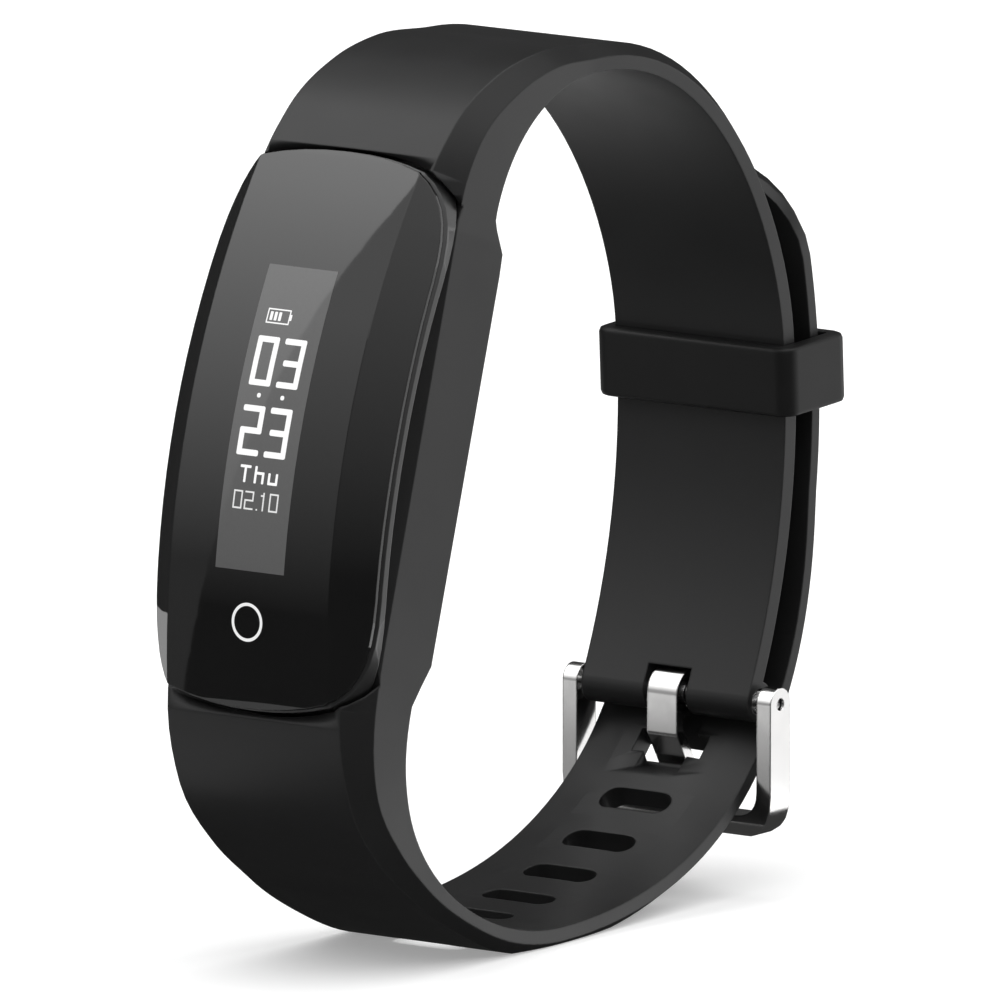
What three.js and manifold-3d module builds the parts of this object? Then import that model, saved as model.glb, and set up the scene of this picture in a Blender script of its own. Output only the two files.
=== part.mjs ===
// Fitness tracker band: a pod with a curved cover in the pocket of a one-piece strap, closed by a
// tongue buckle and a keeper. Millimetres, +Z up, standing on the bottom of the strap.
// X runs from the pod to the buckle, Y across the strap.
import * as THREE from "three";
import { mergeVertices } from "three/addons/utils/BufferGeometryUtils.js";
import Module from "manifold-3d";

const wasm = await Module();
wasm.setup();

// ---- sizes ------------------------------------------------------------------------------------

// the loop, measured on the face that touches the wrist
const wristDepth = 43.4; // along X
const wristHeight = 56.1; // along Z
const seatLean = 17.1; // degrees that the pod leans back
const sideRadius = 0.7843 * wristHeight; // bend of the strap behind the buckle
const sideTopAngle = 6.8; // where the side bend runs into the top, degrees above its centre
const tailBendStart = -6.9; // where the tail takes up the same bend
const tailTipHeight = 15.7; // tip of the tail above the centre of the side bend

// strap section
const seatHalfWidth = 8.25;
const buckleHalfWidth = 6.75;
const shortThickness = 1.85; // the end that holds the buckle
const tailThickness = 1.55;
const layerGap = 1.25; // between the short end and the tail lying over it
const tipLength = 6; // rounding of the tail's tip
const footDepth = 0.4; // how far the foot's flat is let into the bottom of the loop

// adjusting slots
const slotPitch = 4.7;
const slotWidth = 2;
const slotSpan = 5.5;
const slotsToSeat = 6; // slots between the one in use and the pod
const slotsToTip = 6;

// pod
const podLength = 36.7;
const podWidth = 17.74;
const podHeight = 11.1; // wrist face to crown
const crownRadius = 54;
const crownHalfWidth = 6.4; // flat band between the two creases
const facetFall = 0.81; // fall of the side facets for each millimetre outwards
const coverEdge = 0.3;
const coverThickness = 1;
const coverInset = 1.2; // step under the cover that seats inside the case lip
const lipDepth = 3.05; // crown to the underside of the case lip
const caseLength = 33;
const caseWidth = 12.8;
const caseWall = 0.9;
const caseFloor = 2.15; // bottom edge of the case wall
const gasketThickness = 0.4;
const backThickness = 0.8;
const padLength = 23.4;
const padWidth = 8.4;
const padHeight = 0.75;
const seatBulge = 1.35; // how far the pod's seat stands towards the wrist
const seatTopPatch = 3.3; // the strap already bends this far before the upper end of the pod
const seatLowPatch = 1.95;

// electronics, lengths along the pod
const boardThickness = 0.8;
const boardTop = 6.65;
const displayLength = 22.8;
const displayWidth = 8;
const displayThickness = 1;
const displayBase = 7.5;
const displayCentre = 1;
const displayWall = 0.7;
const batteryLength = 19.4;
const batteryThickness = 2.7;
const batteryBase = 2.75;
const motorRadius = 3.7;
const motorThickness = 2.6;
const touchPlace = -12.95; // under the touch mark on the cover
const lensRadius = 3;
const contactRadius = 0.9;
const contactPlace = 8.6;

// buckle
const barBore = 0.85; // hole through the end of the strap
const barTubeRadius = 0.72;
const barTubeBore = 0.54;
const pinRadius = 0.48;
const pinTipRadius = 0.3;
const pinTravel = 0.95;
const pinLength = 3.2;
const endRadius = 1.35; // rolled end of the strap
const endAngle = 24.8; // place of the spring bar below the centre of the side bend
const frameLength = 8.3; // spring bar to the middle of the crossbar
const frameDepth = 2.2;
const armThickness = 1.15;
const crossbarHeight = 1.5;
const frameCorner = 2.9;
const frameHole = 0.4;
const tongueWidth = 2.4;
const tongueThickness = 0.8;
const tongueEye = 1.6;
const tongueBend = 2.5; // straight length before the bend
const tongueReach = 1.4; // past the edge of the crossbar
const notchHalfWidth = 1.75;
const notchRise = 0.45; // height of the notch above the rolled end
const swingIn = 2; // degrees that the buckle moves in its slot
const swingOut = 6;

// keeper
const keeperHeight = 4.65;
const keeperWall = 1;
const keeperAngle = 2.75; // place above the centre of the side bend
const keeperRound = 1.2;
const keeperEdge = 0.35;

// fits
const slide = 0.2; // parts that slide on each other
const fit = 0.3; // parts that lie in each other
const seam = 0.06; // joints between shells
const sideGap = 0.55; // strap end to buckle arms

const degree = Math.PI / 180;

// ---- solids -----------------------------------------------------------------------------------

function solidOf(geometry, matrix) {
  const plain = geometry.clone();
  for (const name of Object.keys(plain.attributes)) {
    if (name !== "position") plain.deleteAttribute(name);
  }
  if (matrix) plain.applyMatrix4(matrix);
  const merged = mergeVertices(plain, 1e-4);
  const build = (triVerts) =>
    new wasm.Manifold(
      new wasm.Mesh({ numProp: 3, vertProperties: merged.attributes.position.array, triVerts }),
    );
  const triangles = new Uint32Array(merged.index.array);
  const solid = build(triangles);
  return solid.volume() < 0 ? build(triangles.reverse()) : solid;
}

function geometryOf(solid) {
  const mesh = solid.getMesh();
  const positions = new Float32Array(mesh.numVert * 3);
  for (let i = 0; i < mesh.numVert; i++) {
    for (let k = 0; k < 3; k++) positions[3 * i + k] = mesh.vertProperties[mesh.numProp * i + k];
  }
  const geometry = new THREE.BufferGeometry();
  geometry.setAttribute("position", new THREE.BufferAttribute(positions, 3));
  geometry.setIndex(new THREE.BufferAttribute(mesh.triVerts, 1));
  geometry.computeVertexNormals();
  return geometry;
}

const join = (first, ...others) => others.reduce((sum, solid) => sum.add(solid), first);
const cut = (first, ...others) => others.reduce((rest, solid) => rest.subtract(solid), first);

const place = (x, y, z) => new THREE.Matrix4().makeTranslation(x, y, z);

function block(length, width, low, high, x = 0, y = 0) {
  const box = new THREE.BoxGeometry(length, width, high - low);
  return solidOf(box, place(x, y, (low + high) / 2));
}

// a prism standing on an outline, from one height to another
function prism(outline, low, high, bevel = 0) {
  const geometry = new THREE.ExtrudeGeometry(outline, {
    depth: high - low - 2 * bevel,
    steps: 1,
    curveSegments: 6,
    bevelEnabled: bevel > 0,
    bevelThickness: bevel,
    bevelSize: bevel,
    bevelOffset: -bevel,
    bevelSegments: 2,
  });
  return solidOf(geometry, place(0, 0, low + bevel));
}

// a prism across the strap, standing on an outline in the plane of the loop
const acrossStrap = new THREE.Matrix4().makeRotationX(Math.PI / 2);
function crossPrism(outline, halfWidth) {
  return prism(outline, -halfWidth, halfWidth).transform(acrossStrap.elements);
}

function crossCylinder(x, z, radius, from, to, sides = 24) {
  const rod = new THREE.CylinderGeometry(radius, radius, to - from, sides);
  return solidOf(rod, place(x, (from + to) / 2, z));
}

function upright(x, y, radius, low, high, sides = 20) {
  const rod = new THREE.CylinderGeometry(radius, radius, high - low, sides);
  const matrix = place(x, y, (low + high) / 2).multiply(acrossStrap);
  return solidOf(rod, matrix);
}

function roundedRectangle(length, width, radius) {
  const shape = new THREE.Shape();
  const x = length / 2 - radius;
  const y = width / 2 - radius;
  shape.absarc(x, y, radius, 0, Math.PI / 2);
  shape.absarc(-x, y, radius, Math.PI / 2, Math.PI);
  shape.absarc(-x, -y, radius, Math.PI, 1.5 * Math.PI);
  shape.absarc(x, -y, radius, 1.5 * Math.PI, 2 * Math.PI);
  return shape;
}

const roundedBlock = (length, width, radius, low, high, bevel = 0) =>
  prism(roundedRectangle(length, width, radius), low, high, bevel);

// ---- path of the strap ------------------------------------------------------------------------

const point = (x, z) => new THREE.Vector2(x, z);
const seatAlong = point(Math.sin(seatLean * degree), Math.cos(seatLean * degree));
const seatOut = point(-seatAlong.y, seatAlong.x);
const seatCentre = point(-0.394 * wristDepth, 0.59 * wristHeight);
const seatTop = seatCentre.clone().addScaledVector(seatAlong, podLength / 2 - seatTopPatch);
const seatBottom = seatCentre.clone().addScaledVector(seatAlong, seatLowPatch - podLength / 2);
const topPoint = point(0, wristHeight);
const lowPoint = point(-0.085 * wristDepth, 0);
const sideCentre = point(wristDepth / 2 - sideRadius, 0.545 * wristHeight);
const tailRadius = sideRadius + shortThickness + layerGap;

const onSide = (angle, radius = sideRadius) =>
  point(sideCentre.x + radius * Math.cos(angle), sideCentre.y + radius * Math.sin(angle));

function bend(start, startHandle, end, endHandle) {
  const first = start.clone().add(startHandle);
  const second = end.clone().add(endHandle);
  return new THREE.CubicBezierCurve(start, first, second, end);
}

const topHandle = 0.132 * wristHeight;
const tailHandle = 0.0535 * wristHeight;
const upSide = (angle, length) => point(-Math.sin(angle), Math.cos(angle)).multiplyScalar(length);
const sideTop = sideTopAngle * degree;
const tailStart = tailBendStart * degree;
const tailEnd = Math.asin(tailTipHeight / tailRadius);
const barAngle = -endAngle * degree;

// stretches of the strap from the buckle end to the tip of the tail, with their steps
const stretches = {
  side: {
    steps: 18,
    curve: new THREE.EllipseCurve(
      sideCentre.x, sideCentre.y, sideRadius, sideRadius, barAngle, sideTop, false,
    ),
  },
  topRight: {
    steps: 28,
    curve: bend(onSide(sideTop), upSide(sideTop, topHandle), topPoint, point(0.317 * wristDepth, 0)),
  },
  topLeft: {
    steps: 28,
    curve: bend(
      topPoint,
      point(-0.159 * wristDepth, 0),
      seatTop,
      seatAlong.clone().multiplyScalar(0.08 * wristHeight),
    ),
  },
  seat: { steps: 22, curve: new THREE.LineCurve(seatTop, seatBottom) },
  lowLeft: {
    steps: 34,
    curve: bend(
      seatBottom,
      seatAlong.clone().multiplyScalar(-0.183 * wristHeight),
      lowPoint,
      point(-0.232 * wristDepth, 0),
    ),
  },
  lowRight: {
    steps: 40,
    curve: bend(
      lowPoint,
      point(0.663 * wristDepth, 0),
      onSide(tailStart, tailRadius),
      upSide(tailStart, -tailHandle),
    ),
  },
  tail: {
    steps: 18,
    curve: new THREE.EllipseCurve(
      sideCentre.x, sideCentre.y, tailRadius, tailRadius, tailStart, tailEnd, false,
    ),
  },
};

// distance along the strap at which each stretch begins and ends
const mark = {};
let strapLength = 0;
for (const [name, stretch] of Object.entries(stretches)) {
  mark[name] = strapLength;
  strapLength += stretch.curve.getLength();
  stretch.end = strapLength;
}

// place on the wrist face, direction along the strap and direction away from the wrist
function strapAt(distance) {
  const name = Object.keys(stretches).find((key) => distance <= stretches[key].end + 1e-9);
  const stretch = stretches[name ?? "tail"];
  const start = mark[name ?? "tail"];
  const share = THREE.MathUtils.clamp((distance - start) / (stretch.end - start), 0, 1);
  const spot = stretch.curve.getPointAt(share);
  const along = stretch.curve.getTangentAt(share);
  return { spot, along, out: point(along.y, -along.x) };
}

// ---- section of the strap along its length ------------------------------------------------------

const seatEnd = mark.lowLeft;
const sideWall = shortThickness - 0.65;
const tailWall = tailThickness - 0.7;
const sectionKeys = [
  // at: distance, half: half width, wall: height of the side face, drop and inset: edge chamfer,
  // bulge: seat standing towards the wrist, arch: crown of the wrist face across the strap
  { at: 0, half: buckleHalfWidth, wall: sideWall, drop: 0.65, inset: 0.75, bulge: 0, arch: 0 },
  { at: mark.topRight, half: 6.82, wall: sideWall, drop: 0.65, inset: 0.75, bulge: 0, arch: 0 },
  { at: mark.topLeft - 10, half: 7.08, wall: 0.98, drop: 0.78, inset: 0.9, bulge: 0, arch: 0 },
  { at: mark.topLeft, half: 7.28, wall: 0.88, drop: 0.85, inset: 1, bulge: 0, arch: 0 },
  { at: mark.seat - 11.4, half: 7.52, wall: 1.75, drop: 1.12, inset: 1.05, bulge: 0, arch: 0 },
  { at: mark.seat - 8, half: 7.7, wall: 2.6, drop: 1.45, inset: 1.15, bulge: 0, arch: 0 },
  { at: mark.seat - 4, half: 7.92, wall: 3.8, drop: 1.72, inset: 1.25, bulge: 0, arch: 0 },
  { at: mark.seat - 0.8, half: 8.08, wall: 4.1, drop: 2.25, inset: 1.35, bulge: 0, arch: 0 },
  { at: mark.seat + 1.8, half: 8.2, wall: 4.15, drop: 2.2, inset: 1.4, bulge: seatBulge, arch: 0 },
  { at: seatEnd - 3, half: seatHalfWidth, wall: 4.1, drop: 2.2, inset: 1.4, bulge: seatBulge, arch: 0 },
  { at: seatEnd, half: seatHalfWidth, wall: 3.95, drop: 2.2, inset: 1.35, bulge: 0, arch: 0 },
  { at: seatEnd + 5, half: 8.05, wall: 3.2, drop: 1.5, inset: 1.2, bulge: 0, arch: 0 },
  { at: seatEnd + 9, half: 7.76, wall: 1.85, drop: 1.2, inset: 1.1, bulge: 0, arch: 0 },
  { at: seatEnd + 13, half: 7.55, wall: 1.1, drop: 0.85, inset: 1, bulge: 0, arch: 0 },
  { at: seatEnd + 19, half: 7.36, wall: 0.78, drop: 0.68, inset: 0.9, bulge: 0, arch: 0 },
  { at: mark.lowRight - 5, half: 7.22, wall: 0.9, drop: 0.72, inset: 0.9, bulge: 0, arch: 0 },
  { at: mark.lowRight + 3, half: 7.06, wall: 0.94, drop: 0.74, inset: 0.88, bulge: 0, arch: 0.2 },
  { at: mark.lowRight + 17, half: 6.9, wall: 0.9, drop: 0.7, inset: 0.8, bulge: 0, arch: 0.6 },
  { at: mark.lowRight + 25, half: buckleHalfWidth, wall: tailWall, drop: 0.7, inset: 0.75, bulge: 0, arch: 0.4 },
  { at: mark.lowRight + 33, half: buckleHalfWidth, wall: tailWall, drop: 0.7, inset: 0.75, bulge: 0, arch: 0 },
  { at: strapLength, half: buckleHalfWidth, wall: tailWall, drop: 0.7, inset: 0.75, bulge: 0, arch: 0 },
];

// slope at a key that lets the section change smoothly without overshooting
function slopeAt(keys, i, name) {
  if (i === 0 || i === keys.length - 1) return 0;
  const before = (keys[i][name] - keys[i - 1][name]) / (keys[i].at - keys[i - 1].at);
  const after = (keys[i + 1][name] - keys[i][name]) / (keys[i + 1].at - keys[i].at);
  return before * after <= 0 ? 0 : (2 * before * after) / (before + after);
}

function sectionAt(distance) {
  const keys = sectionKeys;
  const next = Math.max(1, keys.findIndex((key) => key.at >= distance - 1e-9));
  const a = keys[next - 1];
  const b = keys[next];
  const span = b.at - a.at;
  const t = THREE.MathUtils.clamp((distance - a.at) / span, 0, 1);
  const section = {};
  for (const name of ["half", "wall", "drop", "inset", "bulge", "arch"]) {
    const slopeA = slopeAt(keys, next - 1, name) * span;
    const slopeB = slopeAt(keys, next, name) * span;
    const rise = b[name] - a[name];
    section[name] =
      a[name] + t * slopeA + t * t * (3 * rise - 2 * slopeA - slopeB) + t ** 3 * (slopeA + slopeB - 2 * rise);
  }
  const toTip = strapLength - distance;
  if (toTip < tipLength) {
    const share = Math.sqrt(Math.max(1 - (1 - toTip / tipLength) ** 2, 0.0004));
    section.half *= share;
    section.inset *= share;
  }
  return section;
}

// corners of one section as [across, outwards] pairs, walked round once
function sectionCorners({ half, wall, drop, inset, bulge, arch }) {
  const crown = (y) => -arch * (1 - (y / half) ** 2);
  const face = half - inset;
  const inner = [-1, -0.6, -0.2, 0.2, 0.6, 1].map((share) => share * half);
  const outer = [1, 0.45, 0, -0.45, -1].map((share) => share * face);
  return [
    ...inner.map((y) => [y, crown(y) - bulge]),
    [half, wall],
    ...outer.map((y) => [y, crown(y) + wall + drop]),
    [-half, wall],
  ];
}

function strapStations() {
  const distances = [];
  for (const [name, stretch] of Object.entries(stretches)) {
    const length = stretch.end - mark[name];
    for (let i = 0; i < stretch.steps; i++) distances.push(mark[name] + (length * i) / stretch.steps);
  }
  const body = distances.filter((distance) => distance < strapLength - tipLength - 0.5);
  const tip = [];
  const tipSteps = 7;
  for (let i = 0; i <= tipSteps; i++) {
    tip.push(strapLength - tipLength * (1 - Math.sin((i / tipSteps) * (Math.PI / 2))));
  }
  return [...body, ...tip];
}

function sweptStrap() {
  const rings = strapStations().map((distance) => {
    const { spot, out } = strapAt(distance);
    return sectionCorners(sectionAt(distance)).map(([y, height]) => [
      spot.x + out.x * height,
      y,
      spot.y + out.y * height,
    ]);
  });
  const count = rings[0].length;
  const positions = rings.flat(2);
  const index = [];
  for (let r = 0; r + 1 < rings.length; r++) {
    for (let c = 0; c < count; c++) {
      const a = r * count + c;
      const b = r * count + ((c + 1) % count);
      index.push(a, b, a + count, b, b + count, a + count);
    }
  }
  // the ends are closed by strips between their wrist and outer corners
  const cap = (first, flip) => {
    const strip = (a, b, c) => (flip ? index.push(a, c, b) : index.push(a, b, c));
    let low = 0;
    let high = count - 1;
    while (high - low > 1) {
      strip(first + low, first + high, first + low + 1);
      low += 1;
      if (high - low > 1) {
        strip(first + low, first + high, first + high - 1);
        high -= 1;
      }
    }
  };
  cap(0, false);
  cap((rings.length - 1) * count, true);
  const geometry = new THREE.BufferGeometry();
  geometry.setAttribute("position", new THREE.Float32BufferAttribute(positions, 3));
  geometry.setIndex(index);
  return solidOf(geometry);
}

// ---- buckle places ------------------------------------------------------------------------------

const bar = onSide(barAngle, sideRadius + endRadius);

// matrix from a frame with x along the strap, y across it and z away from the wrist
function strapFrame(distance) {
  const { spot, along, out } = strapAt(distance);
  return new THREE.Matrix4()
    .makeBasis(
      new THREE.Vector3(along.x, 0, along.y),
      new THREE.Vector3(0, -1, 0),
      new THREE.Vector3(out.x, 0, out.y),
    )
    .setPosition(spot.x, 0, spot.y);
}

// distance along the strap at which the tail crosses the middle of the buckle
function crossingDistance() {
  let low = mark.lowRight;
  let high = mark.tail;
  const reach = tongueBend + tongueThickness;
  for (let i = 0; i < 40; i++) {
    const middle = (low + high) / 2;
    if (strapAt(middle).spot.y < bar.y - reach - tailThickness / 2) low = middle;
    else high = middle;
  }
  return low;
}
const slotInUse = crossingDistance();

// centre line of the tongue's stem below its eye, as places from the spring bar
const stemStart = point(-tongueEye + tongueThickness / 2, 0);
const stemBend = point(stemStart.x, -tongueBend);
const barEdge = point(frameDepth / 2, -frameLength + crossbarHeight / 2).sub(stemBend);
const stemTurn = Math.asin((tongueThickness / 2 + slide) / barEdge.length());
const stemEnd = barEdge.clone().rotateAround(point(0, 0), stemTurn)
  .setLength(barEdge.length() + tongueReach).add(stemBend);

// outline of a straight strip between two places
function stripOutline(start, end, before, after) {
  const along = end.clone().sub(start).normalize();
  const side = point(-along.y, along.x);
  return new THREE.Shape([
    start.clone().addScaledVector(side, -before),
    end.clone().addScaledVector(side, -before),
    end.clone().addScaledVector(side, after),
    start.clone().addScaledVector(side, after),
  ]);
}

// ---- strap --------------------------------------------------------------------------------------

function slotCutters() {
  const outline = roundedRectangle(slotWidth, slotSpan, slotWidth / 2 - 0.01);
  const cutters = [];
  for (let i = -slotsToSeat; i <= slotsToTip; i++) {
    if (i === 0) continue;
    const cutter = prism(outline, -2, 4);
    cutters.push(cutter.transform(strapFrame(slotInUse + i * slotPitch).elements));
  }
  return cutters;
}

// the slot in use is pressed open by the tongue, as far as the buckle swings
function openSlotCutter() {
  const stem = stripOutline(stemBend, stemEnd, tongueThickness / 2 + fit, tongueThickness / 2 + fit);
  const angles = [-swingIn, 0, swingOut / 2, swingOut];
  const swings = angles.map((angle) =>
    crossPrism(stem, slotSpan / 2).rotate([0, -angle, 0]).translate([bar.x, 0, bar.y]),
  );
  return join(...swings);
}

function footCutter() {
  const { spot, out } = strapAt(mark.lowRight);
  const { wall, drop, arch } = sectionAt(mark.lowRight);
  const bottom = spot.y - Math.abs(out.y) * (wall + drop - arch);
  return block(wristDepth / 2, 4 * seatHalfWidth, bottom - 5, bottom + footDepth, spot.x);
}

function strapSolid() {
  const halfEnd = buckleHalfWidth;
  const rolled = crossCylinder(bar.x, bar.y, endRadius, -halfEnd, halfEnd, 28);
  const bore = crossCylinder(bar.x, bar.y, barBore, -20, 20);
  const notchTop = bar.y + endRadius + notchRise;
  const notch = block(12, 2 * notchHalfWidth, bar.y - 5, notchTop, bar.x - 1);
  const pocket = podPocket();
  const body = cut(sweptStrap(), ...slotCutters(), openSlotCutter(), footCutter());
  // the notch is kept off the tail, which passes close behind the rolled end
  const end = cut(join(body, rolled), bore);
  const shortEnd = notch.subtract(tailSpace());
  return cut(end, shortEnd, pocket);
}

// everything on the far side of the gap between the two layers, near the buckle
function tailSpace() {
  const depth = sideRadius + 2 * endRadius + 0.1;
  const ring = new THREE.CylinderGeometry(depth, depth, 30, 180);
  const inside = solidOf(ring, place(sideCentre.x, 0, sideCentre.y));
  return block(30, 30, bar.y - 12, bar.y + 12, bar.x).subtract(inside);
}

// ---- pod ----------------------------------------------------------------------------------------

// quarter of the pod's outline, from the middle of a long side to the middle of an end
function podOutline(grow = 0) {
  const side = new THREE.CubicBezierCurve(
    point(0, 0.5), point(0.1, 0.5), point(0.19, 0.497), point(0.285, 0.494),
  );
  const corner = new THREE.CubicBezierCurve(
    point(0.285, 0.494), point(0.385, 0.49), point(0.445, 0.45), point(0.478, 0.352),
  );
  const end = new THREE.CubicBezierCurve(
    point(0.478, 0.352), point(0.494, 0.24), point(0.5, 0.12), point(0.5, 0),
  );
  const quarter = [...side.getPoints(3), ...corner.getPoints(7).slice(1), ...end.getPoints(4).slice(1)];
  const corners = quarter.map(({ x, y }) => point(x * (podLength + 2 * grow), y * (podWidth + 2 * grow)));
  const flipped = [...corners].reverse().slice(1);
  const half = [...corners, ...flipped.map(({ x, y }) => point(x, -y))];
  const otherHalf = half.slice(1, -1).reverse().map(({ x, y }) => point(-x, y));
  return new THREE.Shape([...half, ...otherHalf]);
}

// wheel whose rim is the crown of the cover, lowered by a depth; flat rims have no side facets
function crownWheel(depth, faceted = true) {
  const radius = crownRadius - depth;
  const reach = 12;
  const edge = faceted ? radius - facetFall * (reach - crownHalfWidth) : radius;
  const profile = [point(0, -reach), point(edge, -reach)];
  if (faceted) profile.push(point(radius, -crownHalfWidth), point(radius, crownHalfWidth));
  profile.push(point(edge, reach), point(0, reach));
  const wheel = new THREE.LatheGeometry(profile, 168);
  return solidOf(wheel, place(0, 0, podHeight - crownRadius));
}

const podPrism = (grow, low = -1, high = podHeight + 1) => prism(podOutline(grow), low, high);

// hollow in the strap that takes the pod, in the pod's own frame
function podPocket() {
  const floor = padHeight + 0.03;
  const seat = podPrism(fit).subtract(crownWheel(lipDepth + fit, false));
  const well = roundedBlock(caseLength + 2 * fit, caseWidth + 2 * fit, 2.3, floor, podHeight);
  const window = roundedBlock(padLength + 2 * fit, padWidth + 2 * fit, 2.3, -3, podHeight);
  return join(well, window, seat).transform(podMatrix.elements);
}

const podMatrix = new THREE.Matrix4()
  .makeBasis(
    new THREE.Vector3(seatAlong.x, 0, seatAlong.y),
    new THREE.Vector3(0, 1, 0),
    new THREE.Vector3(seatOut.x, 0, seatOut.y),
  )
  .setPosition(seatCentre.x - seatOut.x * seatBulge, 0, seatCentre.y - seatOut.y * seatBulge);

function coverSolid() {
  const skin = podPrism(0).intersect(crownWheel(0)).subtract(crownWheel(coverEdge));
  const step = podPrism(-coverInset).intersect(crownWheel(coverEdge - 0.05));
  return join(skin, step.subtract(crownWheel(coverThickness)));
}

function adhesiveSolid() {
  const ring = podPrism(-seam * 4).subtract(podPrism(seam - coverInset));
  return ring.intersect(crownWheel(coverEdge + seam)).subtract(crownWheel(coverEdge + seam + 0.15));
}

function caseSolid() {
  const lipTop = coverEdge + seam * 2 + 0.15;
  const lip = podPrism(seam).intersect(crownWheel(lipTop)).subtract(crownWheel(lipDepth, false));
  const well = roundedBlock(caseLength, caseWidth, 2, caseFloor, podHeight - lipDepth);
  const shell = join(lip, well.intersect(crownWheel(lipTop)));
  const cavity = roundedBlock(caseLength - 2 * caseWall, caseWidth - 2 * caseWall, 1.2, -1, 20);
  const mouth = podPrism(fit - coverInset).subtract(crownWheel(lipDepth - 0.6, false));
  return cut(shell, cavity, mouth);
}

function gasketSolid() {
  const top = caseFloor - seam;
  const outer = roundedBlock(caseLength - 0.3, caseWidth - 0.3, 1.9, top - gasketThickness, top);
  const inner = roundedBlock(caseLength - 1.5, caseWidth - 1.5, 1.3, 0, 5);
  return outer.subtract(inner);
}

const backTop = caseFloor - 2 * seam - gasketThickness;
const backBottom = backTop - backThickness;
const padBottom = backBottom - padHeight + 0.05;

function backCoverSolid() {
  const plate = roundedBlock(caseLength, caseWidth, 2, backBottom, backTop);
  const pad = roundedBlock(padLength, padWidth, 2, padBottom, backBottom + 0.1);
  const lensHole = upright(0, 0, lensRadius + seam, -2, 3, 28);
  const contactHoles = [-1, 1].map((side) => upright(side * contactPlace, 0, contactRadius + seam, -2, 3));
  return cut(join(plate, pad), lensHole, ...contactHoles);
}

const lensSolid = () => upright(0, 0, lensRadius, padBottom, backTop - 0.2, 28);

function contactSolid(side) {
  const x = side * contactPlace;
  const head = upright(x, 0, contactRadius, padBottom, backTop + 0.1);
  return join(head, upright(x, 0, 0.4, backTop, backTop + 0.55));
}

const sensorBoardBase = backTop + 0.45;
const sensorBoardSolid = () => block(7.6, 6.4, sensorBoardBase, sensorBoardBase + 0.4);
const sensorChip = (length, width, x) =>
  block(length, width, sensorBoardBase - 0.42, sensorBoardBase - seam, x);

const caseInner = caseWidth - 2 * caseWall;
const batteryPlace = batteryLength / 2 + caseWall + 0.5 - caseLength / 2;
const batterySolid = () =>
  roundedBlock(batteryLength, caseInner - 0.8, 1.3, batteryBase, batteryBase + batteryThickness, 0.4)
    .translate([batteryPlace, 0, 0]);
const batteryPadSolid = () => {
  const base = batteryBase + batteryThickness + seam;
  return block(batteryLength - 5, caseInner - 3, base, base + 0.25, batteryPlace);
};
const motorPlace = caseLength / 2 - caseWall - motorRadius - 0.6;
const motorSolid = () => upright(motorPlace, 0, motorRadius, batteryBase, batteryBase + motorThickness, 28);

const boardBase = boardTop - boardThickness;
const boardLength = caseLength - 2 * caseWall - 0.6;
const boardSolid = () => roundedBlock(boardLength, caseInner - 0.5, 0.8, boardBase, boardTop);
const chip = (length, width, height, x, y) =>
  block(length, width, boardTop + seam, boardTop + seam + height, x, y);

const displaySolid = () =>
  block(displayLength, displayWidth, displayBase, displayBase + displayThickness, displayCentre);

function displayFrameSolid() {
  const length = displayLength + 2 * (slide + displayWall);
  const width = displayWidth + 2 * (slide + displayWall);
  const top = displayBase + displayThickness - 0.15;
  const outer = roundedBlock(length, width, 0.8, boardTop + seam, top).translate([displayCentre, 0, 0]);
  const inner = block(displayLength + 2 * slide, displayWidth + 2 * slide, 0, 12, displayCentre);
  const flexGap = block(4, 5.4, 0, 12, displayCentre + length / 2);
  return cut(outer, inner, flexGap);
}

// ribbon from the end of the display down to the board
function flexSolid() {
  const start = displayCentre + displayLength / 2 + seam;
  const turn = start + displayWall + 0.5;
  const low = boardTop + seam;
  const high = displayBase + 0.4;
  const thickness = 0.16;
  const outline = new THREE.Shape([
    point(start, high),
    point(start, high + thickness),
    point(turn + thickness, high + thickness),
    point(turn + thickness, low + thickness),
    point(turn + 1.2, low + thickness),
    point(turn + 1.2, low),
    point(turn, low),
    point(turn, high),
  ]);
  return crossPrism(outline, 2.4);
}

function touchSolid() {
  const foot = upright(touchPlace, 0, 0.5, boardTop + seam, boardTop + 1.4, 12);
  return join(foot, upright(touchPlace, 0, 1.1, boardTop + 1.3, boardTop + 1.55));
}

// ---- buckle -------------------------------------------------------------------------------------

const armInside = buckleHalfWidth + sideGap;
const armOutside = armInside + armThickness;

// outline of the U seen along X: arms upwards, crossbar below, heights from the spring bar
function frameOutline() {
  const top = frameDepth;
  const bottom = -frameLength - crossbarHeight / 2;
  const inner = bottom + crossbarHeight;
  const corner = frameCorner;
  const innerCorner = frameCorner - armThickness;
  const shape = new THREE.Shape();
  shape.moveTo(armOutside, top);
  shape.lineTo(armOutside, bottom + corner);
  shape.quadraticCurveTo(armOutside, bottom, armOutside - corner, bottom);
  shape.lineTo(-armOutside + corner, bottom);
  shape.quadraticCurveTo(-armOutside, bottom, -armOutside, bottom + corner);
  shape.lineTo(-armOutside, top);
  shape.lineTo(-armInside, top);
  shape.lineTo(-armInside, inner + innerCorner);
  shape.quadraticCurveTo(-armInside, inner, -armInside + innerCorner, inner);
  shape.lineTo(armInside - innerCorner, inner);
  shape.quadraticCurveTo(armInside, inner, armInside, inner + innerCorner);
  shape.lineTo(armInside, top);
  return shape;
}

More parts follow.
